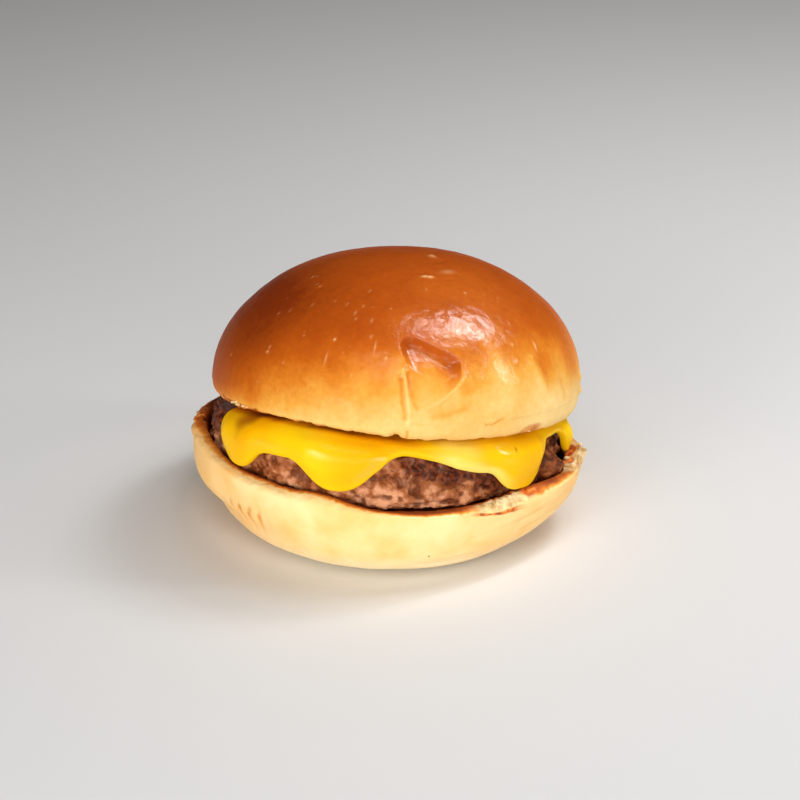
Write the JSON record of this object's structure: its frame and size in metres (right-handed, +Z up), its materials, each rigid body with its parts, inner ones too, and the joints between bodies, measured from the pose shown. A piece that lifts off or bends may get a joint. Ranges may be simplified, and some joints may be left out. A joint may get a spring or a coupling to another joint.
{
  "type": "cheeseburger",
  "caption": "Cheeseburger: a glossy browned bun that gapes at the front round a thick patty under a slice of melted cheese with hanging lobes.",
  "frame": {"origin": "centre of the flat base of the bottom bun", "axes": "+Z up, -Y towards the front, where the bun gapes widest, +X to the right seen from the front"},
  "size_m": [0.1031, 0.1008, 0.0706],
  "materials": {
    "bottom_bun": "soft pale bread skin, toasted brown at the cut edge",
    "patty": "minced beef, seared and moist",
    "cheese": "melted yellow cheese, smooth and glossy",
    "top_bun": "glazed bread skin, deep golden brown on top and cream coloured low down"
  },
  "bodies": {
    "root": {"bottom_bun": "bottom_bun", "patty": "patty", "cheese": "cheese", "top_bun": "top_bun"}
  },
  "joints": []
}
